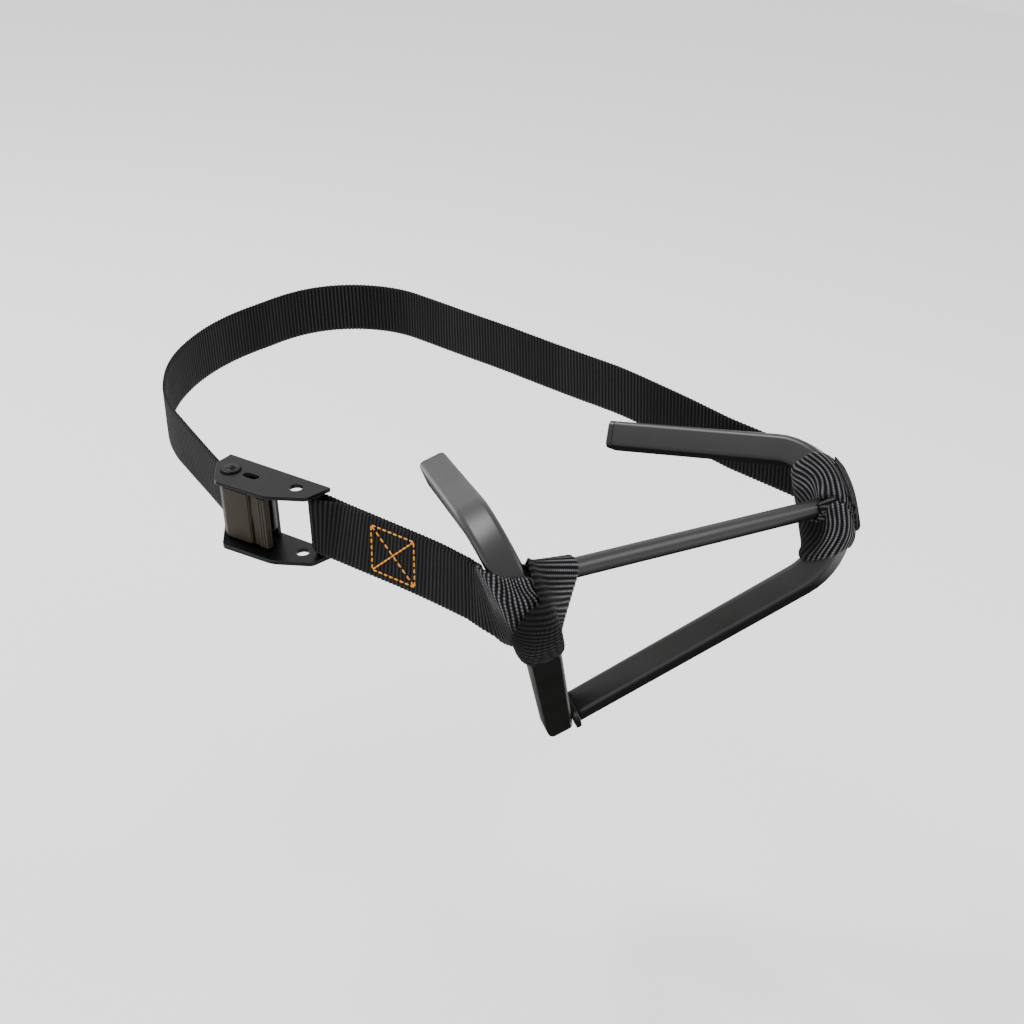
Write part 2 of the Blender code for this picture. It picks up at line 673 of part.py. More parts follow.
def lever_outline():
    """Side view of the cam lever about its pivot: toothed cam below, thumb plate with a lip."""
    points = []
    steps = 2 * CAM_TEETH
    for i in range(steps + 1):
        angle = math.radians(150 - 120 * i / steps)
        tooth = TOOTH_DEPTH if i % 2 else 0.0
        reach = CAM_RADIUS - tooth - CAM_RELIEF * max(0.0, -math.cos(angle))
        points.append((reach * math.cos(angle), reach * math.sin(angle)))
    points += LEVER_UNDERSIDE
    for ridge in range(RIDGES):
        peak = RIDGE_FIRST - ridge * RIDGE_PITCH
        points += [(peak - back, height) for back, height in RIDGE_PROFILE]
    points += LEVER_PANEL
    return points


def cam_lever():
    width = 2 * LEVER_HALF_WIDTH - SPRING_SPACE
    place = buckle_matrix() @ Matrix.Translation(PIVOT + Vector((0, 0, -SPRING_SPACE / 2)))
    lever = plate("cam_lever", [lever_outline(), circle((0, 0), PIVOT_RADIUS + GAP, 20)], width, place)
    finish(lever, (0.09, 0.075, 0.06, 1), 0.55, 0.4)


def cam_spring():
    """Torsion spring on the pivot pin, between the lever and the upper side plate."""
    low = LEVER_HALF_WIDTH - SPRING_SPACE + SPRING_WIRE + GAP
    curve = bpy.data.curves.new("cam_spring", 'CURVE')
    curve.dimensions = '3D'
    curve.bevel_depth = SPRING_WIRE
    curve.bevel_resolution = 1
    curve.use_fill_caps = True
    steps = 14
    points = [Vector((SPRING_COIL, SPRING_ENDS[0], low))]
    for i in range(SPRING_TURNS * steps + 1):
        angle = 2 * math.pi * i / steps
        rise = SPRING_PITCH * i / steps
        points.append(Vector((SPRING_COIL * math.cos(angle), -SPRING_COIL * math.sin(angle), low + rise)))
    points.append(Vector((SPRING_COIL, SPRING_ENDS[1], low + SPRING_PITCH * SPRING_TURNS)))
    spline = curve.splines.new('POLY')
    spline.points.add(len(points) - 1)
    for point, place in zip(spline.points, points):
        point.co = (place.x, place.y, place.z, 1)
    obj = bpy.data.objects.new("cam_spring", curve)
    obj.matrix_world = buckle_matrix() @ Matrix.Translation(PIVOT)
    finish(mesh_from(obj, "cam_spring"), (0.5, 0.5, 0.5, 1), 0.3, 1.0)


def build():
    left_tube()
    right_tube()
    cross_rod()
    rod_weld("rod_weld_left", -1)
    rod_weld("rod_weld_right", 1)
    corner_weld()
    end_plug("left_prong_plug", -1, True)
    end_plug("right_prong_plug", 1, True)
    end_plug("lower_end_plug", -1, False)
    left_hitch()
    right_hitch()
    long_strap()
    strap_tail()
    sling()
    box_stitch("outer_box_stitch", False)
    box_stitch("inner_box_stitch", True)
    eye_bar_tack()
    buckle_frame()
    anchor_bar()
    pivot_pin()
    cam_lever()
    cam_spring()


def move_to_contact():
    """Bring the middle of the lower trunk contact to the world origin."""
    contact = end_frame(-1, False) @ Vector((0, 0, GAP + PLUG_HEAD))
    for obj in list(PART.objects) + list(CUTTERS.objects):
        obj.matrix_world = Matrix.Translation(-contact) @ obj.matrix_world


clear_scene()
PART = new_collection("climbing_step")
CUTTERS = new_collection("cutters")
CUTTERS.hide_render = True
build()
move_to_contact()
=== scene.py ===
"""Looks of the climbing step: webbing, hitches, stitching, buckle details and finishes over the CAD frame.

Lengths are millimetres in the "rod frame", whose origin is the middle of the cross rod and whose axes
are the row's own; place() turns them into the row frame in metres.  Webbing is drawn as a sheet: a
function grid(u, v) gives its points for u along it (0..1) and v across it (-1..1), and a second function
of (u, v) sets how strongly painted highlights show on the crests of its ribs.
"""
import json
import math

import bmesh
import bpy
import numpy as np
from mathutils import Matrix, Vector

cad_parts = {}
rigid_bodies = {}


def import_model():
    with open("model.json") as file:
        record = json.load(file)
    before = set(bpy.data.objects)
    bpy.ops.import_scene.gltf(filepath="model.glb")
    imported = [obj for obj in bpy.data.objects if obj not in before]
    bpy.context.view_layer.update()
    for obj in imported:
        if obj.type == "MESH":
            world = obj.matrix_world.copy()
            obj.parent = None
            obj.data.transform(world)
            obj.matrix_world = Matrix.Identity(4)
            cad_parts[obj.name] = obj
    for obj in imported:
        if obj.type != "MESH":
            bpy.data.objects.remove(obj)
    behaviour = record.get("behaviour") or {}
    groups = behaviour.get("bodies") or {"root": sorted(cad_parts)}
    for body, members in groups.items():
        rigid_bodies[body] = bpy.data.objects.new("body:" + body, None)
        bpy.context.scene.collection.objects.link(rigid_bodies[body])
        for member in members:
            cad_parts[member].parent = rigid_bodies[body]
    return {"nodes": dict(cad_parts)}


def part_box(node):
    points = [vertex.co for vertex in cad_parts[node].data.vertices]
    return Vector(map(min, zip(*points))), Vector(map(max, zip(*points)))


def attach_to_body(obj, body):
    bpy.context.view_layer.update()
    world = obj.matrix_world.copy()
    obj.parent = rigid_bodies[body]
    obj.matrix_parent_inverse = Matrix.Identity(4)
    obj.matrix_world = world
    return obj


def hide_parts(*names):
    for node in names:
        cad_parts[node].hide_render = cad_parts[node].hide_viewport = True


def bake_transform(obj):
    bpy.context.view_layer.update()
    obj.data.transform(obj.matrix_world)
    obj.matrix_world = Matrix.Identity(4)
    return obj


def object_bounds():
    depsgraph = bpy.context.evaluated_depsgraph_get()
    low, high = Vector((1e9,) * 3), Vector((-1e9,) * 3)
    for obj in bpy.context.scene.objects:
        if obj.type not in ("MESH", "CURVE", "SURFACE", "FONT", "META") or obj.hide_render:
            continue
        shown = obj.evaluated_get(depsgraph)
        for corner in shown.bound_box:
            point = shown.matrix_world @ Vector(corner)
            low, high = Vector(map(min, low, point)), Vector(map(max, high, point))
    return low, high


MM = 0.001

# Layout of the bent tubes, the same as the CAD's
BEND_RADIUS = 30.6                  # of the tube's centreline
HAIRPIN = math.radians(35.6)        # between prong and brace
BEND_LIMIT = (math.pi - HAIRPIN) / 2    # where the bend meets prong and brace
SPLAY = math.radians(31.0)          # between a tube's plane and the middle plane
LEAN = math.radians(-24.3)          # turn of the hairpin within its plane
FRAME_PITCH = math.radians(-60.0)   # lie of the frame about the rod
ROD_HALF_SPAN = 84.1                # from the middle to a bend's outermost centreline point

# Layout of the loop and the buckle, the same as the CAD's
STRAP_ROLL = math.radians(8.0)      # the loop rises from left to right
STRAP_DROP = 3.0                    # and lies below the rod's axis
LOOP_CORNERS = (((95.2, 24), 0), ((81.5, 66), 60), ((25.8, 316.3), 53.8), ((-117.1, 290.8), 102.9),
                ((-127.3, 157), 12))    # corners of the strap's path in plan, each with its radius
BUCKLE_CENTRE = Vector((-115, 125, 0))
BUCKLE_TURN = math.radians(-69.0)
PIVOT = Vector((-20.6, -7.2, 0))    # the cam's rivet, in the buckle's axes
ANCHOR = Vector((21.2, -0.7, 0))    # the anchor bar, likewise
TAIL_END = -4.8                     # the webbing's cut end, likewise
STRAP_ENTRY = 3.0                   # from the rivet to where the long strap ends under the cam
LEVER_MIDDLE = Vector((0, 0, -1.35))    # of the lever, from the rivet's middle
ANCHOR_RADIUS = 2.4
WEB_WIDTH = 25.4
WEB_THICK = 1.6

# Fall of the visible strap on its way to the right hitch
RIGHT_DIP_FROM = 135.0              # it starts this far back
RIGHT_DIP = 0.132                   # and falls this much per millimetre,
RIGHT_DIP_EASE = 30.0               # after a soft start
TACK_DROP = 10.6                    # the fall at the bar tack

# The sling's top and bottom edges, from the anchor bar to the left hitch
SLING_TOP = ((-107, 108, -5.5), (-104, 100, -5.0), (-100, 85.5, -4.2), (-94, 64, -3.4),
             (-88.6, 44, -2.6), (-85.6, 27, -2.2))
SLING_BOTTOM = ((-110, 108, -31), (-106.6, 98, -30.6), (-101.4, 82, -30), (-94.4, 61, -29.1),
                (-88.6, 40, -28.2), (-84.6, 24, -27.5))
SLING_HALF_WIDTH = 12.5
PLY_GAP = 0.12                      # between a ply and the middle of the doubled webbing
EYE_GAP = 0.35                      # between the anchor bar and the webbing round it
EYE_LENGTH = 9.0                    # from the bar to where the plies lie together

# The sewn box
STITCH_LONG = 23.0                  # along the sling
STITCH_HIGH = 18.8                  # across it
STITCH_LEAN = 2.2
STITCH_MIDDLE = 41.5                # from the anchor bar
BOX_STITCH = (2.9, 0.74)            # pitch of the stitches and the thread's share of it
FALLING_STITCH = (3.1, 0.72)        # the same for the cross's two seams
RISING_STITCH = (2.6, 0.95)
THREAD_RADIUS = 0.36

# The bar tack
TACK_ROWS = 20
TACK_PITCH = 1.0
TACK_RISE = 0.8                     # of each row from one end to the other
TACK_NEAR, TACK_FAR = 4.0, 6.6      # ends of the rows, from the strap's end
TACK_THREAD_RADIUS = 0.3

# The weave
RIB = 2.0                           # pitch of the ribs
ROWS_PER_RIB = 6
YARN = 0.9                          # pitch of the yarns that cross a rib
RIB_RELIEF = 0.26                   # depth of the grooves between ribs at a cut end
FLAT_RELIEF = 0.17                  # where the webbing is stretched flat
GATHERED_RELIEF = 0.42              # where it is gathered in the hitches
SCALLOP = 0.30                      # how far the ribs stand out at the edges
FLAT_SCALLOP = 0.42
EDGE_FROM = 0.86                    # share of the half width where the rounded edge begins

# The hitches: webbing round a bend
SQUARENESS = 3.4                    # of the wrapped section; 2 would be an ellipse
OUTER_REACH = 7.2                   # from the tube's centreline to webbing on the outside of the bend
INNER_REACH = 8.2                   # and, at least, to webbing on its inside
CHORD = 15.6                        # how near the bend's centre the webbing cuts across its inside
CHORD_SOFTNESS = 1.2
COLLAR = 4.2                        # how far a turn climbs where it meets the rod
FOLD_HEIGHT = 0.4
EDGE_TUCK = 0.8                     # how far a turn's edges are drawn in
RIB_BOW = 10                        # of the ribs along a turn, in degrees round the tube
NEARNESS = 1.4                      # how quickly the rod's pull fades across a turn

# Stage and camera
HANGING_ROOM_M = 0.0905             # below the part, in metres, for the loop when it hangs down
CAMERA_AT = Vector((-405.25, -423.5, 281.6))
CAMERA_BACK = Vector((-0.542, -0.722, 0.429))
CAMERA_RIGHT = Vector((0.821, -0.563, 0.089))
LENS = 56.96
SENSOR = 36.0


# ---------------------------------------------------------------- small helpers

def place(points):
    """Rod-frame millimetres to row-frame metres, for an array of points."""
    return np.asarray(points, float) * MM + np.array(ROD)


def place_matrix(matrix):
    """A rod-frame matrix in millimetres as a row-frame matrix in metres."""
    out = matrix.copy()
    out.translation = matrix.translation * MM + ROD
    return out


def mesh_object(name, verts, faces, uvs=None, crest_highlights=None):
    """A mesh from arrays; uvs and the amounts of painted highlight on rib crests are per vertex."""
    mesh = bpy.data.meshes.new(name)
    mesh.from_pydata([tuple(v) for v in verts], [], [tuple(f) for f in faces])
    if uvs is not None:
        layer = mesh.uv_layers.new(name="UVMap")
        index = np.zeros(len(mesh.loops), int)
        mesh.loops.foreach_get("vertex_index", index)
        layer.data.foreach_set("uv", np.asarray(uvs, np.float32)[index].ravel())
    # Per-vertex amount of painted highlight on the rib crests, read by the webbing material.
    if crest_highlights is not None:
        crest_highlight = mesh.attributes.new("crest_highlight", 'FLOAT', 'POINT')
        crest_highlight.data.foreach_set("value", np.asarray(crest_highlights, np.float32))
    mesh.polygons.foreach_set("use_smooth", [True] * len(mesh.polygons))
    mesh.update()
    obj = bpy.data.objects.new(name, mesh)
    bpy.context.scene.collection.objects.link(obj)
    return obj


def smooth_step(low, high, x):
    t = np.clip((np.asarray(x, float) - low) / (high - low), 0, 1)
    return t * t * (3 - 2 * t)


def bell(x, middle, width):
    """A smooth hump of height 1."""
    return np.exp(-((x - middle) / width) ** 2)


def unit(vectors):
    return vectors / np.linalg.norm(vectors, axis=-1, keepdims=True)


def length_along(line):
    """Distance travelled at each point of a line."""
    step = np.linalg.norm(np.diff(line, axis=0), axis=1)
    return np.concatenate([[0], np.cumsum(step)])


def read_rows(at, places, table):
    """Rows of a table, interpolated at the given places."""
    return np.stack([np.interp(at, places, table[:, k]) for k in range(table.shape[1])], 1)


def resample(line, samples):
    length = length_along(line)
    return read_rows(np.linspace(0, length[-1], samples), length, line)


def spline_through(points, samples):
    """Catmull-Rom curve through the points, resampled evenly by length."""
    pts = np.asarray(points, float)
    ext = np.vstack([2 * pts[0] - pts[1], pts, 2 * pts[-1] - pts[-2]])
    t = np.linspace(0, 1, 24, endpoint=False)[:, None]
    dense = []
    for i in range(len(pts) - 1):
        p0, p1, p2, p3 = ext[i:i + 4]
        dense.append(0.5 * (2 * p1 + (p2 - p0) * t + (2 * p0 - 5 * p1 + 4 * p2 - p3) * t ** 2
                            + (3 * p1 - p0 - 3 * p2 + p3) * t ** 3))
    dense.append(pts[-1:])
    return resample(np.vstack(dense), samples)


def wobble(x, seed):
    """A smooth, repeatable unevenness between about -1 and 1."""
    x = np.asarray(x, float)
    return (np.sin(x + seed * 1.7) + 0.6 * np.sin(x * 2.3 + seed * 3.1)
            + 0.4 * np.sin(x * 4.1 + seed * 5.3)) / 2.0


# ---------------------------------------------------------------- frames of the parts

def side_frame(side):
    """Matrix of one bent tube's plane: x into the bend, y from brace to prong."""
    along = Vector((-math.sin(SPLAY), math.cos(SPLAY), 0))
    up = Vector((0, 0, 1))
    into = math.cos(LEAN) * along - math.sin(LEAN) * up
    across = math.sin(LEAN) * along + math.cos(LEAN) * up
    for axis in (into, across):
        axis.x *= side
    normal = into.cross(across)
    turn = Matrix((into, across, normal)).transposed().to_4x4()
    pitch = Matrix.Rotation(FRAME_PITCH, 4, 'X')
    return Matrix.Translation(Vector((side * ROD_HALF_SPAN, 0, 0))) @ pitch @ turn


def strap_frame():
    """Matrix of the loop's plane."""
    return Matrix.Translation(Vector((0, 0, -STRAP_DROP))) @ Matrix.Rotation(-STRAP_ROLL, 4, 'Y')


def buckle_in_loop():
    return Matrix.Translation(BUCKLE_CENTRE) @ Matrix.Rotation(BUCKLE_TURN, 4, 'Z')


def buckle_frame():
    """Matrix of the buckle: x from the cam to the anchor bar, z across the webbing."""
    return strap_frame() @ buckle_in_loop()


def axis_of(matrix, direction):
    return np.array(matrix.to_3x3() @ Vector(direction))


def to_rod(matrix, points):
    pts = np.asarray(points, float)
    m = np.array(matrix)
    return pts @ m[:3, :3].T + m[:3, 3]


def rounded_line(corners):
    """Points along a plan polyline whose corners are rounded to the given radii."""
    points = []
    for index, (corner, radius) in enumerate(corners):
        here = Vector(corner)
        if radius == 0:
            points.append(here)
            continue
        before = (Vector(corners[index - 1][0]) - here).normalized()
        after = (Vector(corners[(index + 1) % len(corners)][0]) - here).normalized()
        opening = before.angle(after)
        reach = radius / math.tan(opening / 2)
        centre = here + (before + after).normalized() * radius / math.sin(opening / 2)
        start = here + before * reach - centre
        end = here + after * reach - centre
        sweep = math.pi - opening
        if start.x * end.y - start.y * end.x < 0:
            sweep = -sweep
        steps = max(4, round(abs(sweep) / math.radians(2)))
        for i in range(steps + 1):
            points.append(centre + Matrix.Rotation(sweep * i / steps, 2) @ start)
    return np.array([(p.x, p.y) for p in points])


# ---------------------------------------------------------------- webbing

def section_columns(columns):
    """Places across the webbing from -1 to 1, closer together at the edges."""
    even = np.linspace(-1, 1, columns)
    return 0.25 * np.sin(even * math.pi / 2) + 0.75 * even


def sheet_faces(rows, columns):
    """Faces of a thick sheet; its front vertices come first, then its back ones."""
    count = rows * columns
    faces = []
    for i in range(rows - 1):
        base = i * columns
        for j in range(columns - 1):
            a, b, c, d = base + j, base + j + 1, base + columns + j + 1, base + columns + j
            faces.append((a, d, c, b))
            faces.append((count + a, count + b, count + c, count + d))
        for j, flip in ((0, False), (columns - 1, True)):
            a, d = base + j, base + columns + j
            quad = (a, count + a, count + d, d)
            faces.append(quad[::-1] if flip else quad)
    for i, flip in ((0, False), (rows - 1, True)):
        base = i * columns
        for j in range(columns - 1):
            a, b = base + j, base + j + 1
            quad = (a, count + a, count + b, b)
            faces.append(quad[::-1] if flip else quad)
    return faces


def web(name, grid, half_width, thick, crest_highlight, rib_start=0.0, columns=15, relief=RIB_RELIEF, scallop=SCALLOP):
    """Thick ribbed webbing over a sheet; the ribs run across it, at an even pitch along its middle."""
    coarse = np.linspace(0, 1, 400)
    length = length_along(grid(coarse, np.zeros_like(coarse)))
    rows = max(8, int(round(length[-1] / RIB * ROWS_PER_RIB)) + 1)
    along = np.linspace(0, length[-1], rows)
    u, v = np.meshgrid(np.interp(along, length, coarse), section_columns(columns), indexing='ij')
    travel = np.repeat(along[:, None], columns, axis=1) + rib_start
    hump = np.abs(np.sin(math.pi * travel / RIB)) ** 0.75
    edge = np.clip((np.abs(v) - EDGE_FROM) / (1 - EDGE_FROM), 0, 1)
    v_wide = v * (1 + (hump - 0.6) * scallop / half_width * edge)

    def points(u_at, v_at):
        return grid(u_at.ravel(), v_at.ravel()).reshape(rows, columns, 3)
    du, dv = 0.001, 0.02
    forward = points(np.clip(u + du, 0, 1), v_wide) - points(np.clip(u - du, 0, 1), v_wide)
    sideways = points(u, v_wide + dv) - points(u, v_wide - dv)
    normal = np.cross(forward, sideways)
    normal /= np.maximum(np.linalg.norm(normal, axis=2, keepdims=True), 1e-9)
    round_off = np.sqrt(np.clip(1 - 0.85 * edge ** 2, 0.05, 1))
    lift = normal * ((thick / 2 - relief * (1 - hump)) * round_off)[..., None]
    middle = points(u, v_wide)
    verts = np.concatenate([(middle + lift).reshape(-1, 3), (middle - lift).reshape(-1, 3)])
    uvs = np.stack([travel.ravel() / RIB, (v * half_width).ravel() / YARN], 1)
    # Painted highlight: how strongly the rib crests are coloured light at each vertex.
    crest_highlights = np.full(rows * columns, crest_highlight(u.ravel(), v.ravel()))
    obj = mesh_object(name, place(verts), sheet_faces(rows, columns), np.vstack([uvs, uvs]),
                      np.concatenate([crest_highlights, crest_highlights]))
    work = bmesh.new()
    work.from_mesh(obj.data)
    bmesh.ops.recalc_face_normals(work, faces=work.faces)
    work.to_mesh(obj.data)
    work.free()
    return obj


def ribbon_grid(line, acrosses, half_width, shape=None):
    """Sheet along a centre line, with one direction across it or one for each point.

    shape(u, v) adds an offset in millimetres along, across and out of the ribbon.
    """
    acrosses = np.broadcast_to(acrosses, line.shape)
    length = length_along(line)
    param = length / length[-1]
    tangent = np.gradient(line, length, axis=0)

    def grid(u, v):
        side = unit(read_rows(u, param, acrosses))
        points = read_rows(u, param, line) + side * (v * half_width)[:, None]
        if shape is not None:
            forward = unit(read_rows(u, param, tangent))
            offset = shape(u, v)
            points = points + forward * offset[:, :1] + side * offset[:, 1:2]
            points = points + np.cross(forward, side) * offset[:, 2:]
        return points
    return grid


def rail_grid(rail_a, rail_b, bulge):
    """Sheet between two rails; bulge(u, v) is an offset in the rod frame."""
    a = spline_through(rail_a, 200)
    b = spline_through(rail_b, 200)
    param = np.linspace(0, 1, 200)

    def grid(u, v):
        mix = ((v + 1) / 2)[:, None]
        return read_rows(u, param, a) * (1 - mix) + read_rows(u, param, b) * mix + bulge(u, v)
    return grid


def attach(obj, body, slot, *nodes):
    """The body a piece rides on and the CAD nodes it stands for; slot, its material slot, is not used."""
    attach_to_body(obj, body)
    if nodes:
        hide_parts(*nodes)
    return obj


def hang(obj):
    """Bake a sheet's placement into its mesh; the sheet leaves the strap at one point and follows the frame
    from another, but it is put on no body.
    """
    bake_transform(obj)
    return obj


def long_strap():
    """The long strap from its sewn eye round the loop to the cam."""
    entry = buckle_in_loop() @ Vector((PIVOT.x + STRAP_ENTRY, 0, 0))
    plan = rounded_line(list(LOOP_CORNERS) + [((entry.x, entry.y), 0)])
    line = resample(np.column_stack([plan, np.zeros(len(plan))]), 500)
    fall = np.where(line[:, 0] > 0, np.maximum(RIGHT_DIP_FROM - line[:, 1], 0), 0)
    line[:, 2] -= RIGHT_DIP * fall ** 2 / (fall + RIGHT_DIP_EASE)
    line = to_rod(strap_frame(), line)

    def sag(u, v):
        ends = smooth_step(0.0, 0.12, u) * (1 - smooth_step(0.85, 1.0, u))
        drift = 0.35 * wobble(u * 14, 5.0)
        twist = 0.4 * v * wobble(u * 9, 2.0) + 0.15 * wobble(u * 22 + v, 1.0)
        return np.stack([0 * u, drift * ends, twist * ends], 1)

    # Painted highlight on the rib crests: weak, and varying at random along the strap.
    def crest_highlight(u, v):
        return 0.16 + 0.06 * wobble(u * 40, 3.0)
    grid = ribbon_grid(line, axis_of(strap_frame(), (0, 0, 1)), WEB_WIDTH / 2, sag)
    obj = web("strap_webbing", grid, WEB_WIDTH / 2, WEB_THICK, crest_highlight, relief=FLAT_RELIEF, scallop=FLAT_SCALLOP)
    return attach(obj, "strap", "black_webbing", "long_strap")


def strap_tail():
    """The cut end of the webbing past the cam."""
    line = to_rod(buckle_frame(), [(x, 0, 0) for x in np.linspace(PIVOT.x + 0.5, TAIL_END, 12)])

    def worn_corner(u, v):
        return np.stack([-2.2 * np.clip((-v - 0.82) / 0.18, 0, 1) ** 2 * u, 0 * u, 0 * u], 1)

    # Painted highlight on the rib crests: weak, and strong at the cut end.
    def crest_highlight(u, v):
        return 0.15 + 2.5 * smooth_step(0.93, 1.0, u)
    grid = ribbon_grid(line, axis_of(buckle_frame(), (0, 0, 1)), WEB_WIDTH / 2, worn_corner)
    obj = web("tail_webbing", grid, WEB_WIDTH / 2, WEB_THICK, crest_highlight)
    return attach(obj, "tail", "black_webbing", "strap_tail")


def sling_line(samples):
    """Centre line of the sling, the directions across it and out of it."""
    top = spline_through(SLING_TOP, samples)
    low = spline_through(SLING_BOTTOM, samples)
    centre = (top + low) / 2
    across = unit(top - low)
    out = unit(np.cross(unit(np.gradient(centre, axis=0)), across))
    if out[0, 0] > 0:
        out = -out
    return centre, across, out


def sling():
    """Doubled webbing: in along the inner ply, round the anchor bar and out along the outer ply."""
    centre, across, out = sling_line(60)
    bar = to_rod(buckle_frame(), [tuple(ANCHOR)])[0]
    x_axis, y_axis, z_axis = (axis_of(buckle_frame(), d) for d in ((1, 0, 0), (0, 1, 0), (0, 0, 1)))
    keep = (centre - bar) @ x_axis > EYE_LENGTH
    ply = out[keep] * (WEB_THICK / 2 + PLY_GAP)
    radius = ANCHOR_RADIUS + EYE_GAP + WEB_THICK / 2
    turn = [math.radians(a) for a in range(75, 290, 12)]    # round the bar, from ply to ply
    arc = np.array([bar + radius * (x_axis * math.cos(a) + y_axis * math.sin(a)) for a in turn])
    line = np.vstack([(centre[keep] - ply)[::-1], arc, centre[keep] + ply])
    acrosses = np.vstack([across[keep][::-1], np.repeat(z_axis[None, :], len(arc), 0), across[keep]])
    for _ in range(3):
        line[1:-1] = (line[:-2] + 2 * line[1:-1] + line[2:]) / 4
        acrosses[1:-1] = (acrosses[:-2] + 2 * acrosses[1:-1] + acrosses[2:]) / 4

    # Painted highlight on the rib crests: weak, and varying at random along the sling.
    def crest_highlight(u, v):
        return 0.15 + 0.05 * wobble(u * 50, 4.0)
    obj = web("sling_webbing", ribbon_grid(line, acrosses, SLING_HALF_WIDTH), SLING_HALF_WIDTH, WEB_THICK,
              crest_highlight, relief=FLAT_RELIEF, scallop=FLAT_SCALLOP)
    return attach(obj, "strap", "black_webbing", "buckle_sling")


# ---------------------------------------------------------------- hitches

def section_point(side, phi, theta, reach_in, reach_out, reach_side):
    """A point round a side tube's bend: phi along it, theta round it from the inside of the bend.

    Both angles are arrays in degrees; theta 90 is the side the rod comes from.
    """
    phi = np.radians(np.asarray(phi, float))
    theta = np.radians(np.asarray(theta, float))
    matrix = np.array(side_frame(side))
    into, across, normal = matrix[:3, 0], matrix[:3, 1], matrix[:3, 2]
    rod_side = -normal if side > 0 else normal
    bend = np.clip(phi, -BEND_LIMIT, BEND_LIMIT)
    straight = (phi - bend) * BEND_RADIUS
    inward = np.cos(bend)[:, None] * into - np.sin(bend)[:, None] * across
    tangent = np.sin(bend)[:, None] * into + np.cos(bend)[:, None] * across
    centre = matrix[:3, 3] + BEND_RADIUS * (into - inward) + tangent * straight[:, None]
    c, s = np.cos(theta), np.sin(theta)
    a = np.where(c > 0, reach_in, reach_out)
    r = (np.abs(c / a) ** SQUARENESS + np.abs(s / reach_side) ** SQUARENESS) ** (-1 / SQUARENESS)
    return centre + inward * (r * c)[:, None] + rod_side * (r * s)[:, None]


def round_bend(side, spots):
    """Points round a bend, each from its phi, theta and reach."""
    phi, theta, reach = np.array(spots, float).T
    return section_point(side, phi, theta, reach, reach, reach)


def inner_reach(phi):
    """Reach of webbing that spans the inside of the bend instead of following it."""
    cosine = np.cos(np.radians(np.clip(phi, -56, 56)))
    beyond = BEND_RADIUS - CHORD / cosine - INNER_REACH
    return INNER_REACH + np.log1p(np.exp(CHORD_SOFTNESS * beyond)) / CHORD_SOFTNESS


def gather(theta, near, towards, pull, around, width):
    """Draw the ribs together towards one angle on the edge beside the rod, where near is 1."""
    return theta + pull * (towards - theta) * bell(theta, around, width) * near


def fan(theta, v, around, width):
    """Bow the ribs in the middle of a turn."""
    return theta + RIB_BOW * np.sin(math.pi * (v + 1) / 2) ** 2 * bell(theta, around, width)


def right_turn(phi, theta, v, near, folds, crown, side_reach):
    """Points of a turn round the right bend: crowned, folded and climbing where it meets the rod."""
    tucked_edge = EDGE_TUCK * smooth_step(0.8, 1.0, np.abs(v))
    collar = COLLAR * near ** 3 * bell(theta, 90, 30)
    lift = crown * (1 - v ** 2) - tucked_edge + FOLD_HEIGHT * near * folds + collar
    return section_point(1, phi, theta, inner_reach(phi) + lift, OUTER_REACH + lift, side_reach + lift)


def right_upper():
    """The turn above the rod."""
    start, sweep = -55, 240         # degrees round the tube

    def grid(u, v):
        near = np.clip((1 - v) / 2, 0, 1) ** NEARNESS
        theta = gather(start + sweep * u, near, towards=96, pull=0.42, around=45, width=48)
        theta = fan(theta, v, around=80, width=45)
        rod_edge = -1.5 + 3.0 * bell(theta, 84, 24) - 21 * smooth_step(108, 190, theta)
        prong_edge = np.interp(theta, (30, 60, 90, 120, 150, 180), (50, 47.5, 44, 41, 35, 29))
        phi = rod_edge + (prong_edge - rod_edge) * (v + 1) / 2
        folds = np.sin(np.radians(theta) * 9 + 1.0) * bell(theta, 85, 60)
        return right_turn(phi, theta, v, near, folds, crown=1.0, side_reach=7.9)

    # Painted highlight on the rib crests, rising where the turn faces the light round the tube and falling
    # past 130 degrees, with painted shade halving it along the edge by the rod.
    def crest_highlight(u, v):
        theta = start + sweep * u
        lit = 0.3 + 0.9 * smooth_step(0, 45, theta) - 0.4 * smooth_step(130, 175, theta)
        return lit * (1 - 0.5 * (v < -0.85)) * (0.75 + 0.25 * wobble(theta / 9 + 4 * v, 2.0))
    obj = web("right_upper_turn", grid, 12.0, WEB_THICK, crest_highlight, relief=GATHERED_RELIEF, columns=27)
    return attach(obj, "frame", "black_webbing", "right_hitch")


def right_lower():
    """The turn below the rod."""
    start, sweep = -55, 250         # degrees round the tube

    def grid(u, v):
        near = np.clip((v + 1) / 2, 0, 1) ** NEARNESS
        theta = gather(start + sweep * u, near, towards=108, pull=0.5, around=60, width=50)
        theta = fan(theta, v, around=95, width=60)
        rod_edge = -1.0 - 5.0 * bell(theta, 80, 26) - 15 * smooth_step(115, 185, theta)
        brace_edge = np.interp(theta, (60, 90, 120, 150, 180), (-57, -50, -43, -36, -31))
        phi = brace_edge + (rod_edge - brace_edge) * (v + 1) / 2
        folds = np.sin(np.radians(theta) * 8) * bell(theta, 95, 50)
        return right_turn(phi, theta, v, near, folds, crown=0.9, side_reach=7.8)

    # Painted highlight on the rib crests, dim on the underside and rising where the turn faces the light
    # round the tube.
    def crest_highlight(u, v):
        theta = start + sweep * u
        lit = 0.12 + 1.1 * smooth_step(55, 100, theta) - 0.25 * smooth_step(160, 195, theta)
        return lit * (0.8 + 0.25 * wobble(theta / 8 + 3 * v, 5.0))
    obj = web("right_lower_turn", grid, 11.0, WEB_THICK, crest_highlight, relief=GATHERED_RELIEF, columns=27)
    return attach(obj, "frame", "black_webbing")


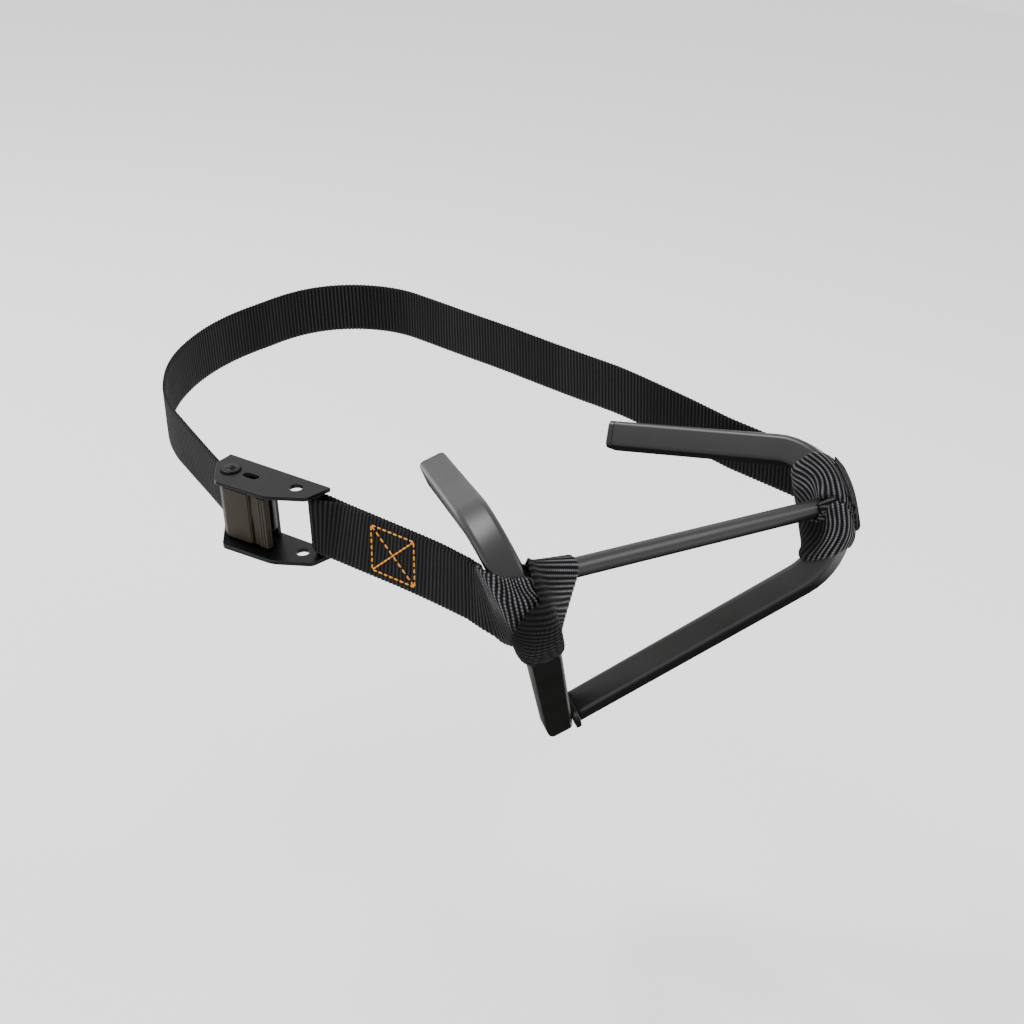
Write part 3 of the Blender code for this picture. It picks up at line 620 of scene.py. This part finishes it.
def right_twist():
    """Gathered webbing bunched below the end of the rod."""
    middle, half_width, radius = 73.6, 3.4, 4.9
    start, sweep = 120, 200         # degrees round the rod, over its front and underside

    def grid(u, v):
        angle = np.radians(start + sweep * u)
        x = middle + half_width * v + 0.5 * np.sin(u * 9)
        reach = radius + 0.4 * np.sin(u * 21 + v * 3) + 2.9 * smooth_step(-0.6, 1.0, v)
        return np.stack([x, reach * np.cos(angle), reach * np.sin(angle)], 1)

    # Painted highlight on the rib crests, even over the twist.
    def crest_highlight(u, v):
        return 0.5
    obj = web("right_twist", grid, 3.6, 1.4, crest_highlight, relief=0.3, columns=13)
    return attach(obj, "frame", "black_webbing")


def push_out(side, points, reach):
    """Move points that are inside the wrapped shell of a bend out onto it."""
    matrix = np.array(side_frame(side))
    local = (points - matrix[:3, 3]) @ matrix[:3, :3]
    phi = np.clip(np.arctan2(local[:, 1], BEND_RADIUS - local[:, 0]), -BEND_LIMIT, BEND_LIMIT)
    inward = np.stack([np.cos(phi), -np.sin(phi), 0 * phi], 1)
    tangent = np.stack([np.sin(phi), np.cos(phi), 0 * phi], 1)
    middle = np.array([BEND_RADIUS, 0, 0]) - BEND_RADIUS * inward
    middle = middle + tangent * ((local - middle) * tangent).sum(1, keepdims=True)
    offset = local - middle
    a = np.abs((offset * inward).sum(1) / reach)
    b = np.abs(offset[:, 2] / reach)
    depth = np.maximum((a ** SQUARENESS + b ** SQUARENESS) ** (1 / SQUARENESS), 0.001)
    scale = (1 + depth ** 8) ** (1 / 8) / depth
    local = middle + offset * scale[:, None]
    return local @ matrix[:3, :3].T + matrix[:3, 3]


def wrapped(side, reach, grid, closer=0.0):
    """The same sheet, kept outside a bend; closer is how much nearer its second edge may lie."""
    def kept(u, v):
        return push_out(side, grid(u, v), reach - closer * smooth_step(0.0, 0.9, v))
    return kept


def right_lead():
    """The strap's doubled end: in from behind, over the outside of the bend, tucked at the front."""
    top = to_rod(strap_frame(), [(91.5, 34, 2.3), (94.6, 25, 1.4)])
    top = [*top, *round_bend(1, (
        (27, 228, 8.0), (27, 195, 7.8), (30, 170, 8.6), (26, 150, 9.2), (22, 136, 8.6)))]
    low = to_rod(strap_frame(), [(91.5, 34, -22.6), (94.6, 25, -23.6)])
    low = [*low, *round_bend(1, (
        (-14, 232, 8.4), (-19, 205, 7.9), (-15, 184, 8.2), (-6, 160, 8.9), (1, 140, 8.4)))]
    outwards = np.array([0.55, -0.75, 0.1])

    def puff(u, v):
        return (0.6 * (1 - v ** 2) * smooth_step(0.1, 0.5, u))[:, None] * outwards

    # Painted highlight on the rib crests, stronger where the end tucks in at the front.
    def crest_highlight(u, v):
        return 0.14 + 0.25 * smooth_step(0.8, 1.0, u)
    sheet = wrapped(1, 7.6, rail_grid(low, top, puff))
    obj = web("right_lead", sheet, 12.5, 1.5, crest_highlight, relief=0.1, scallop=0.12, columns=21)
    return hang(obj)


def left_bight():
    """The sling's bight: over the end of the rod and down round the outside of the left bend."""
    left = [(-78.4, 6.3, -3), (-79.4, 4.6, 3.8), (-81.2, 0, 7.6), (-82.2, -5.4, 6.4), (-81.8, -10, 1.8)]
    left = [*left, *round_bend(-1, (
        (-15, 152, 10.2), (-17, 180, 9.8), (-21, 205, 9.8), (-27, 230, 9.8), (-33, 250, 9.2),
        (-37, 268, 8.2)))]
    right = [(-56.4, 4.3, -2.4), (-56.2, 3.3, 3.2), (-56.0, 0.4, 4.6), (-56.3, -3.4, 3.1),
             (-57.4, -4.9, -0.8), (-59.6, -6.0, -6), (-61.4, -6.8, -11), (-63.0, -7.2, -17),
             (-64.0, -7.4, -22), (-65.0, -7.2, -26), (-66.2, -5.4, -29.0)]
    outwards = np.array([-0.45, -0.75, 0.45])

    def puff(u, v):
        crown = 0.8 * (1 - v ** 2) * smooth_step(0.05, 0.3, u)
        creases = 0.25 * np.sin(v * 7 + u * 5) * smooth_step(0.4, 0.8, u)
        return (crown + creases)[:, None] * outwards

    # Painted highlight on the rib crests, rising across the bight towards one edge, with painted shade over
    # the end that goes down round the bend.
    def crest_highlight(u, v):
        lit = (0.2 + 0.95 * smooth_step(-0.9, 0.7, v)) * smooth_step(0.1, 0.26, u)
        shaded = 1 - 0.8 * smooth_step(0.5, 0.78, u - 0.1 * v)
        return lit * shaded * (0.85 + 0.2 * wobble(u * 30 + 2 * v, 3.0))
    sheet = wrapped(-1, 9.3, rail_grid(left, right, puff), closer=2.1)
    obj = web("left_bight", sheet, 12.0, 1.5, crest_highlight, relief=GATHERED_RELIEF, columns=27)
    return attach(obj, "frame", "black_webbing", "left_hitch")


def left_ply(name, drop, inset, side_gap, shine):
    """One ply of the sling's end, wrapped round the outside of the left bend.

    drop lowers its bottom edge, inset lays it closer to the tube, side_gap is its distance from the
    sling's middle where it starts, and shine is how strongly painted highlights show on the rib crests of its
    gathered end.
    """
    top = [SLING_TOP[-1], (-85.8, 20, -1.7), *round_bend(-1, (
        (22, 262, 7.6), (15, 238, 7.6), (6, 200, 7.6), (2.5, 180, 7.6), (0, 155, 7.6), (-3, 135, 7.6)))]
    low = [SLING_BOTTOM[-1], (-83.6, 14, -27.4), (-82.2, 5.5, -27.6), *round_bend(-1, (
        (-46, 262, 7.8), (-50, 235, 7.8), (-52, 200, 7.8), (-53, 170, 7.8), (-52, 145, 7.8)))]
    outwards = np.array([-0.6, -0.7, 0.2])
    sideways = np.array([-0.99, -0.1, 0.1])
    down = np.array([0, 0, -1.0])

    def settle(u, v):
        later = smooth_step(0.15, 0.45, u)
        folds = 0.55 * smooth_step(0.35, 0.6, u) * np.sin(v * 9 + u * 8) * smooth_step(-0.5, 0.6, v)
        crown = 0.6 * (1 - v ** 2)
        return ((folds + (crown - inset) * later)[:, None] * outwards
                + (side_gap * (1 - later))[:, None] * sideways
                + (later * drop * (1 - v) / 2)[:, None] * down)

    # Painted highlight on the rib crests of the gathered end, scaled by shine.
    def crest_highlight(u, v):
        lit = 0.15 + shine * smooth_step(0.36, 0.55, u) * smooth_step(-0.35, 0.35, v - 0.9 * (u - 0.7))
        return lit * (0.8 + 0.3 * wobble(u * 60 + 5 * v, 7.0))
    sheet = wrapped(-1, 8.0 - 0.6 * inset, rail_grid(low, top, settle))
    obj = web(name, sheet, 12.5, WEB_THICK, crest_highlight, rib_start=0.7 * inset, relief=0.36, columns=23)
    return hang(obj)


# ---------------------------------------------------------------- stitching

def stitches(name, strokes, radius):
    """Raised thread stitches, each a small capsule from one point to another, as one mesh."""
    rings, sides = 7, 8
    verts, faces = [], []
    for start, end, out in strokes:
        length = np.linalg.norm(end - start)
        along = (end - start) / length
        out = unit(out - along * (out @ along))
        sideways = np.cross(along, out)
        base = len(verts)
        for i in range(rings):
            t = i / (rings - 1)
            swell = math.sqrt(max(0.02, 1 - (2 * t - 1) ** 4))
            middle = start + along * length * t + out * radius * 0.55 * math.sin(math.pi * t)
            for j in range(sides):
                angle = 2 * math.pi * j / sides
                verts.append(middle + radius * swell * (sideways * math.cos(angle) + out * math.sin(angle)))
        for i in range(rings - 1):
            for j in range(sides):
                a, b = base + i * sides + j, base + i * sides + (j + 1) % sides
                faces.append((a, b, b + sides, a + sides))
        faces.append(tuple(base + j for j in reversed(range(sides))))
        faces.append(tuple(base + (rings - 1) * sides + j for j in range(sides)))
    return mesh_object(name, place(verts), faces)


def dashes(start, end, pitch, share):
    """Even stitches along a straight seam in the box's own plane; share is how much of it is thread."""
    start, end = np.array(start, float), np.array(end, float)
    length = np.linalg.norm(end - start)
    count = max(1, int(round(length / pitch)))
    step = (end - start) / count
    first, last = (1 - share) / 2, (1 + share) / 2
    return [(start + step * (i + first), start + step * (i + last)) for i in range(count)]


def box_stitching():
    """A sewn square with a cross in it, through both faces of the sling."""
    centre, across, out = sling_line(400)
    bar = to_rod(buckle_frame(), [tuple(ANCHOR)])[0]
    index = int(np.argmin(np.abs(np.linalg.norm(centre - bar, axis=1) - STITCH_MIDDLE)))
    middle, up, away = centre[index], across[index], out[index]
    forward = np.cross(up, away)
    if forward @ (centre[-1] - centre[0]) < 0:
        forward = -forward
    half, high = STITCH_LONG / 2, STITCH_HIGH / 2
    top_near, top_far = (-half, high), (half, high)
    low_near, low_far = (-half + STITCH_LEAN, -high), (half + STITCH_LEAN, -high)
    corners = (top_near, top_far, low_far, low_near)
    seams = [(a, b, *BOX_STITCH) for a, b in zip(corners, corners[1:] + corners[:1])]
    seams += [(top_near, low_far, *FALLING_STITCH), (low_near, top_far, *RISING_STITCH)]
    face = WEB_THICK + PLY_GAP
    strokes = {1: [], -1: []}
    for sign in strokes:
        for a, b, pitch, share in seams:
            for p, q in dashes(a, b, pitch, share):
                ends = [middle + forward * c[0] + up * c[1] + away * sign * face for c in (p, q)]
                strokes[sign].append((ends[0], ends[1], away * sign))
    outer = stitches("box_stitching_outer", strokes[1], THREAD_RADIUS)
    inner = stitches("box_stitching_inner", strokes[-1], THREAD_RADIUS)
    attach(outer, "strap", "orange_thread", "outer_box_stitch")
    attach(inner, "strap", "orange_thread", "inner_box_stitch")
    return outer, inner


def bar_tack():
    """Close zigzag of black thread across the strap's sewn eye."""
    start, step = np.array(LOOP_CORNERS[0][0], float), np.array(LOOP_CORNERS[1][0], float)
    lie = unit(step - start)
    away = np.array([lie[1], -lie[0]])
    out = axis_of(strap_frame(), (away[0], away[1], 0))
    strokes = []
    for row in range(TACK_ROWS):
        low = TACK_PITCH * (row - (TACK_ROWS - 1) / 2)
        first, last = (TACK_NEAR, TACK_FAR) if row % 2 else (TACK_FAR, TACK_NEAR)
        ends = []
        for along, z in ((first, low), (last, low + TACK_RISE)):
            plan = start + lie * along + away * (WEB_THICK / 2 + 0.1)
            ends.append((plan[0], plan[1], z - TACK_DROP))
        ends = to_rod(strap_frame(), ends)
        strokes.append((ends[0], ends[1], out))
    obj = stitches("bar_tack_thread", strokes, TACK_THREAD_RADIUS)
    return attach(obj, "strap", "black_thread", "eye_bar_tack")


def lever_recess():
    """The dark sunk strip between the lever's panel and its grip ridges."""
    x_ends, y_ends, z_ends = (13.1, 17.0), (-4.78, -4.6), (-11.2, 11.2)
    corners = [(x, y, z) for x in x_ends for y in y_ends for z in z_ends]
    faces = [(0, 1, 3, 2), (4, 6, 7, 5), (0, 4, 5, 1), (2, 3, 7, 6), (0, 2, 6, 4), (1, 5, 7, 3)]
    lever = buckle_frame() @ Matrix.Translation(PIVOT + LEVER_MIDDLE)
    obj = mesh_object("lever_recess", place(to_rod(lever, corners)), faces)
    return attach(obj, "lever", "lever_bronze")


# ---------------------------------------------------------------- materials

class Shader:
    """Builds a material's nodes round a Principled BSDF."""

    def __init__(self, name, colour, roughness, metallic=0.0):
        self.mat = bpy.data.materials.new(name)
        self.mat.use_nodes = True
        self.tree = self.mat.node_tree
        self.bsdf = self.tree.nodes["Principled BSDF"]
        self.bsdf.inputs["Base Color"].default_value = tuple(colour) + (1.0,)
        self.bsdf.inputs["Roughness"].default_value = roughness
        self.bsdf.inputs["Metallic"].default_value = metallic

    def node(self, kind, **settings):
        item = self.tree.nodes.new(kind)
        for key, value in settings.items():
            setattr(item, key, value)
        return item

    def link(self, a, b):
        self.tree.links.new(a, b)

    def math(self, operation, a, b=None):
        item = self.node("ShaderNodeMath", operation=operation)
        for slot_index, value in enumerate((a, b)):
            if value is None:
                continue
            if isinstance(value, (int, float)):
                item.inputs[slot_index].default_value = value
            else:
                self.link(value, item.inputs[slot_index])
        return item.outputs[0]

    def noise(self, scale, detail):
        coords = self.node("ShaderNodeTexCoord").outputs["Object"]
        item = self.node("ShaderNodeTexNoise")
        item.inputs["Scale"].default_value = scale
        item.inputs["Detail"].default_value = detail
        self.link(coords, item.inputs["Vector"])
        return item.outputs["Fac"]

    def mix(self, factor, a, b):
        item = self.node("ShaderNodeMix", data_type='RGBA')
        if isinstance(factor, (int, float)):
            item.inputs[0].default_value = factor
        else:
            self.link(factor, item.inputs[0])
        for socket, value in ((item.inputs[6], a), (item.inputs[7], b)):
            if isinstance(value, tuple):
                socket.default_value = value + (1.0,)
            else:
                self.link(value, socket)
        return item.outputs[2]

    def bump(self, height, strength, distance, normal=None):
        item = self.node("ShaderNodeBump")
        item.inputs["Strength"].default_value = strength
        item.inputs["Distance"].default_value = distance
        self.link(height, item.inputs["Height"])
        if normal is not None:
            self.link(normal, item.inputs["Normal"])
        self.link(item.outputs[0], self.bsdf.inputs["Normal"])

    def above(self, low, high):
        """A level that drops from high to low on faces that look down."""
        normal = self.node("ShaderNodeNewGeometry").outputs["Normal"]
        split = self.node("ShaderNodeSeparateXYZ")
        self.link(normal, split.inputs[0])
        ramp = self.node("ShaderNodeMapRange")
        ramp.inputs["From Min"].default_value = -0.5
        ramp.inputs["From Max"].default_value = 0.1
        ramp.inputs["To Min"].default_value = low
        ramp.inputs["To Max"].default_value = high
        self.link(split.outputs[2], ramp.inputs["Value"])
        return ramp.outputs[0]

    def set(self, **values):
        for key, value in values.items():
            socket = self.bsdf.inputs[key.replace("_", " ")]
            if isinstance(value, (int, float, tuple)):
                socket.default_value = value
            else:
                self.link(value, socket)


def powder_coat(name, colour, roughness):
    """Fine-grained coating, a little cloudy, that mirrors nothing on faces that look down."""
    s = Shader(name, colour, roughness)
    grain = s.noise(1800, 2.0)
    cloud = s.noise(60, 3.0)
    s.set(Base_Color=s.mix(cloud, tuple(c * 0.8 for c in colour), tuple(c * 1.25 for c in colour)))
    s.set(Roughness=s.math('ADD', s.math('MULTIPLY', cloud, 0.12), roughness - 0.06))
    s.set(Specular_IOR_Level=s.above(0.0, 0.42), IOR=s.above(1.02, 1.5))
    s.bump(grain, 0.22, 0.00012)
    return s.mat


def webbing(name, dark, light):
    """Woven webbing with painted highlights on the crests of its ribs, dotted along the yarns and as strong
    as its per-vertex attribute asks, and painted shade in the grooves between ribs.
    """
    s = Shader(name, dark, 0.85)
    uv = s.node("ShaderNodeUVMap", uv_map="UVMap").outputs[0]
    split = s.node("ShaderNodeSeparateXYZ")
    s.link(uv, split.inputs[0])
    rib = s.math('ABSOLUTE', s.math('SINE', s.math('MULTIPLY', split.outputs[0], math.pi)))
    crest = s.math('POWER', rib, 6.0)
    shift = s.math('MULTIPLY', s.math('FLOOR', split.outputs[0]), 0.5)
    across = s.math('MULTIPLY', s.math('ADD', split.outputs[1], shift), math.pi)
    yarn = s.math('ABSOLUTE', s.math('SINE', across))
    dots = s.math('ADD', s.math('MULTIPLY', s.math('POWER', yarn, 2.0), 0.75), 0.25)
    # Per-vertex amount of painted highlight on the rib crests.
    crest_highlight = s.node("ShaderNodeAttribute", attribute_name="crest_highlight").outputs["Fac"]
    patch = s.math('ADD', s.math('MULTIPLY', s.noise(420, 2.0), 0.9), 0.55)
    highlight_share = s.math('MULTIPLY', s.math('MULTIPLY', crest, dots), s.math('MULTIPLY', crest_highlight, patch))
    highlight_share = s.math('MINIMUM', highlight_share, 1.0)
    # Painted shade: the grooves between ribs are coloured darker.
    painted_groove_shade = s.mix(s.math('POWER', rib, 0.8), tuple(c * 0.35 for c in dark), dark)
    # Painted highlight: the light colour shows on the rib crests, dotted along the yarns.
    s.set(Base_Color=s.mix(highlight_share, painted_groove_shade, light))
    s.set(Roughness=0.82, Specular_IOR_Level=0.06, Sheen_Weight=0.03, Sheen_Roughness=0.5)
    height = s.math('ADD', s.math('MULTIPLY', yarn, 0.6), s.math('MULTIPLY', s.noise(2600, 1.0), 0.4))
    s.bump(height, 0.5, 0.00022)
    return s.mat


def thread(name, colour, light):
    """Sewing thread with fine light fibres."""
    s = Shader(name, colour, 0.6)
    fibres = s.noise(5200, 2.0)
    s.set(Base_Color=s.mix(fibres, colour, light), Specular_IOR_Level=0.1)
    s.bump(fibres, 0.4, 0.0001)
    return s.mat


def worn_and_edge_lit_metal(name, colour, edge, roughness, metallic):
    """Coated metal whose edges are coloured lighter: partly rubbed wear, partly painted highlight along the
    rims.
    """
    s = Shader(name, colour, roughness, metallic)
    soft = s.node("ShaderNodeBevel", samples=6)
    soft.inputs["Radius"].default_value = 0.0005
    geometry = s.node("ShaderNodeNewGeometry")
    dot = s.node("ShaderNodeVectorMath", operation='DOT_PRODUCT')
    s.link(soft.outputs[0], dot.inputs[0])
    s.link(geometry.outputs["Normal"], dot.inputs[1])
    # Edges coloured lighter: partly rubbed wear, partly painted highlight along the rims.
    wear_and_edge_highlight = s.math('MULTIPLY', s.math('SUBTRACT', 1.0, dot.outputs["Value"]), 5.0)
    wear_and_edge_highlight = s.math('MULTIPLY', s.math('MINIMUM', wear_and_edge_highlight, 1.0), s.math('ADD', s.noise(900, 3.0), 0.2))
    s.set(Base_Color=s.mix(wear_and_edge_highlight, colour, edge), Specular_IOR_Level=s.above(0.0, 0.14))
    s.set(Roughness=s.math('ADD', s.math('MULTIPLY', s.noise(240, 3.0), 0.16), roughness - 0.08))
    s.bump(s.noise(1500, 2.0), 0.12, 0.0001, soft.outputs[0])
    return s.mat


def dress(obj, material):
    """Give an object this one material."""
    obj.data.materials.clear()
    obj.data.materials.append(material)


def soften(obj, bevel):
    """Shade a CAD node smooth and round its sharp edges, in millimetres, without moving its vertices."""
    obj.data.polygons.foreach_set("use_smooth", [True] * len(obj.data.polygons))
    weld = obj.modifiers.new("Weld", 'WELD')
    weld.merge_threshold = 0.000002
    if bevel:
        step = obj.modifiers.new("Edge", 'BEVEL')
        step.width = bevel * MM
        step.segments = 3
        step.limit_method = 'ANGLE'
        step.angle_limit = math.radians(35)
        step.use_clamp_overlap = True
    even = obj.modifiers.new("Even shading", 'WEIGHTED_NORMAL')
    even.keep_sharp = True
    even.weight = 60


# ---------------------------------------------------------------- stage, light, camera

def studio(floor_height):
    """A white surround, a pale floor and two soft lights."""
    world = bpy.data.worlds.new("studio")
    bpy.context.scene.world = world
    world.use_nodes = True
    background = world.node_tree.nodes["Background"]
    background.inputs["Color"].default_value = (1.0, 1.0, 1.0, 1.0)
    background.inputs["Strength"].default_value = 1.35
    bpy.ops.mesh.primitive_plane_add(size=6.0, location=(0, 0.6, floor_height))
    floor = bpy.context.object
    floor.name = "floor"
    dress(floor, Shader("floor_paper", (0.93, 0.93, 0.925), 0.9).mat)
    for name, spot, aim, power in (
            ("key", (-0.55, 0.75, 1.45), (-0.02, 0.08, 0.12), 26.0),
            ("side", (0.9, -1.1, 1.3), (0, 0.05, 0.1), 12.0)):
        light = bpy.data.lights.new(name, 'AREA')
        light.size = 0.7
        light.energy = power
        lamp = bpy.data.objects.new(name, light)
        lamp.location = spot
        lamp.rotation_euler = (Vector(aim) - Vector(spot)).to_track_quat('-Z', 'Y').to_euler()
        bpy.context.scene.collection.objects.link(lamp)


def camera():
    """The photograph's viewpoint, without shift."""
    data = bpy.data.cameras.new("camera")
    data.sensor_width = SENSOR
    data.lens = LENS
    data.clip_start = 0.02
    item = bpy.data.objects.new("camera", data)
    back = CAMERA_BACK.normalized()
    right = (CAMERA_RIGHT - back * CAMERA_RIGHT.dot(back)).normalized()
    turn = Matrix((right, back.cross(right), back)).transposed().to_4x4()
    item.matrix_world = place_matrix(Matrix.Translation(CAMERA_AT) @ turn)
    bpy.context.scene.collection.objects.link(item)
    bpy.context.scene.camera = item


# ---------------------------------------------------------------- build

for leftover in list(bpy.data.objects):
    bpy.data.objects.remove(leftover, do_unlink=True)
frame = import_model()
cad_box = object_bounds()
rod_low, rod_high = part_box("cross_rod")
ROD = (rod_low + rod_high) / 2

COAT = powder_coat("powder_coat", (0.0075, 0.0073, 0.007), 0.38)
PLASTIC = powder_coat("black_plastic", (0.004, 0.0045, 0.005), 0.30)
# Webbing: near-black, and a light grey used as painted highlight on the rib crests.
WEB = webbing("webbing", (0.0042, 0.0042, 0.0048), (0.16, 0.16, 0.17))
# Buckle, lever and spring steel: their second colour lightens the edges, partly as rubbed wear, partly as
# painted highlight along the rims.
BUCKLE = worn_and_edge_lit_metal("buckle_black", (0.0035, 0.0035, 0.0038), (0.07, 0.07, 0.066), 0.3, 0.0)
LEVER = worn_and_edge_lit_metal("lever_bronze", (0.026, 0.0205, 0.0145), (0.1, 0.09, 0.075), 0.45, 0.0)
RECESS = powder_coat("lever_recess", (0.012, 0.009, 0.006), 0.5)
STEEL = worn_and_edge_lit_metal("spring_steel", (0.42, 0.42, 0.43), (0.6, 0.6, 0.6), 0.3, 1.0)
ORANGE = thread("orange_thread", (0.5, 0.17, 0.008), (0.8, 0.36, 0.045))
BLACK_THREAD = thread("black_thread", (0.012, 0.012, 0.014), (0.05, 0.05, 0.055))

nodes = frame["nodes"]
for material, bevel, names in (
        (COAT, 0, ("left_side_tube", "right_side_tube", "cross_rod")),
        (COAT, 0.5, ("rod_weld_left", "rod_weld_right", "corner_weld")),
        (PLASTIC, 0.5, ("left_prong_plug", "right_prong_plug", "lower_end_plug")),
        (BUCKLE, 0.35, ("buckle_frame", "cam_pivot_pin", "anchor_bar")),
        (LEVER, 0.2, ("cam_lever",))):
    for name in names:
        dress(nodes[name], material)
        soften(nodes[name], bevel)
dress(nodes["cam_spring"], STEEL)

for piece in (
        long_strap(), strap_tail(), sling(), right_upper(), right_lower(), right_twist(), right_lead(),
        left_bight(), left_ply("left_outer_ply", drop=0.0, inset=0.0, side_gap=0.92, shine=1.1),
        left_ply("left_inner_ply", drop=1.8, inset=1.9, side_gap=-0.92, shine=0.3)):
    dress(piece, WEB)
for piece in box_stitching():
    dress(piece, ORANGE)
dress(bar_tack(), BLACK_THREAD)
dress(lever_recess(), RECESS)

studio(cad_box[0].z - HANGING_ROOM_M)
camera()
